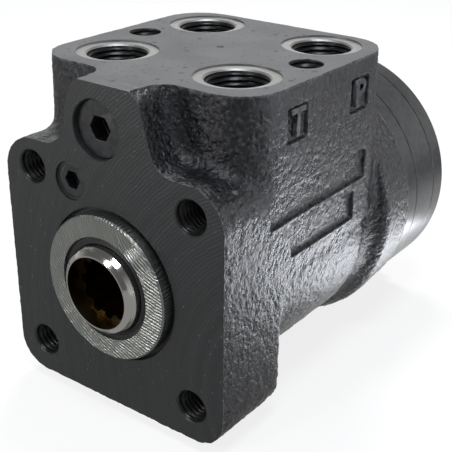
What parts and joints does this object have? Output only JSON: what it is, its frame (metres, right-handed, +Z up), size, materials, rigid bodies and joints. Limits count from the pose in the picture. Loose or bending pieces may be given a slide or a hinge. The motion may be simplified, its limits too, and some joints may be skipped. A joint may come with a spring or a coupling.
{
  "type": "orbital steering unit",
  "caption": "Hydraulic steering unit: cast valve housing with square mounting flange, ports on top, splined socket in front and a round gerotor metering set behind.",
  "frame": {"origin": "centre of the flange bolt circle, where the steering axis meets the mounting face", "axes": "-Y out of the mounting face towards the steering column, +Z up to the port face, +X to the right seen from the front"},
  "size_m": [0.088, 0.1397, 0.1029],
  "materials": {
    "cast_iron_black": "gloss black paint over rough casting",
    "painted_steel": "satin black paint over machined steel",
    "painted_plug": "satin black paint",
    "turned_steel": "coarse turned face",
    "polished_steel": "ground and polished",
    "hard_steel": "ground",
    "spring_steel": "tempered",
    "black_screw": "black oxide",
    "copper": "satin copper",
    "rubber": "matt"
  },
  "bodies": {
    "housing": {"housing": "cast_iron_black", "gland_bushing": "turned_steel", "gland_o_ring": "rubber", "dust_seal": "rubber", "shaft_seal": "rubber", "backing_ring": "turned_steel", "front_thrust_race": "hard_steel", "distributor_plate": "painted_steel", "gear_ring": "painted_steel", "end_cover": "painted_steel", "end_seals": "rubber", "cover_screws": "black_screw", "fitted_screw": "black_screw", "screw_washers": "copper", "check_plug": "painted_plug", "check_seat": "hard_steel", "check_stop_pin": "hard_steel", "relief_plug": "painted_plug", "relief_adjuster": "hard_steel", "relief_spring": "spring_steel", "relief_seat": "hard_steel", "suction_pins": "spring_steel"},
    "sleeve_set": {"sleeve": "hard_steel", "cross_pin": "hard_steel", "flat_springs": "spring_steel", "arched_springs": "spring_steel", "spring_ring": "spring_steel", "rear_thrust_race": "hard_steel"},
    "spool": {"spool": "polished_steel"},
    "spacer": {"spacer_disc": "hard_steel"},
    "rotor": {"rotor": "hard_steel"},
    "cardan": {"cardan_shaft": "hard_steel"},
    "needle_cage": {"needle_cage": "hard_steel", "thrust_needles": "hard_steel"},
    "check_ball": {"check_ball": "hard_steel"},
    "relief_poppet": {"relief_poppet": "hard_steel"},
    "suction_ball_left": {"suction_ball_left": "hard_steel"},
    "suction_ball_right": {"suction_ball_right": "hard_steel"}
  },
  "joints": [
    {"name": "sleeve_turn", "type": "hinge", "parent": "housing", "child": "sleeve_set", "pos_m": [0, 0, 0], "axis": [0, 1, 0], "continuous": true},
    {"name": "spool_turn", "type": "hinge", "parent": "sleeve_set", "child": "spool", "pos_m": [0, 0, 0], "axis": [0, 1, 0], "range_deg": [-12, 12], "stiffness_Nm_per_rad": 5},
    {"name": "rotor_orbit", "type": "hinge", "parent": "housing", "child": "spacer", "pos_m": [0, 0, 0], "axis": [0, 1, 0], "continuous": true},
    {"name": "rotor_spin", "type": "hinge", "parent": "spacer", "child": "rotor", "pos_m": [0, 0, 0.003], "axis": [0, 1, 0], "continuous": true},
    {"name": "cardan_spin", "type": "hinge", "parent": "spacer", "child": "cardan", "pos_m": [0, 0.062, 0], "axis": [0, 0.9983, 0.0587], "continuous": true},
    {"name": "needle_roll", "type": "hinge", "parent": "housing", "child": "needle_cage", "pos_m": [0, 0, 0], "axis": [0, 1, 0], "continuous": true},
    {"name": "check_lift", "type": "slide", "parent": "housing", "child": "check_ball", "axis": [0, 1, 0], "range_m": [0, 0.0015]},
    {"name": "relief_lift", "type": "slide", "parent": "housing", "child": "relief_poppet", "axis": [0, -1, 0], "range_m": [0, 0.0006], "stiffness_N_per_m": 500},
    {"name": "suction_lift_left", "type": "slide", "parent": "housing", "child": "suction_ball_left", "axis": [0, 1, 0], "range_m": [0, 0.0018]},
    {"name": "suction_lift_right", "type": "slide", "parent": "housing", "child": "suction_ball_right", "axis": [0, 1, 0], "range_m": [0, 0.0018]}
  ],
  "couplings": [
    {"joint": "rotor_orbit", "follows": "sleeve_turn", "ratio": -6},
    {"joint": "rotor_spin", "follows": "sleeve_turn", "ratio": 7},
    {"joint": "cardan_spin", "follows": "sleeve_turn", "ratio": 7},
    {"joint": "needle_roll", "follows": "sleeve_turn", "ratio": 0.5}
  ]
}
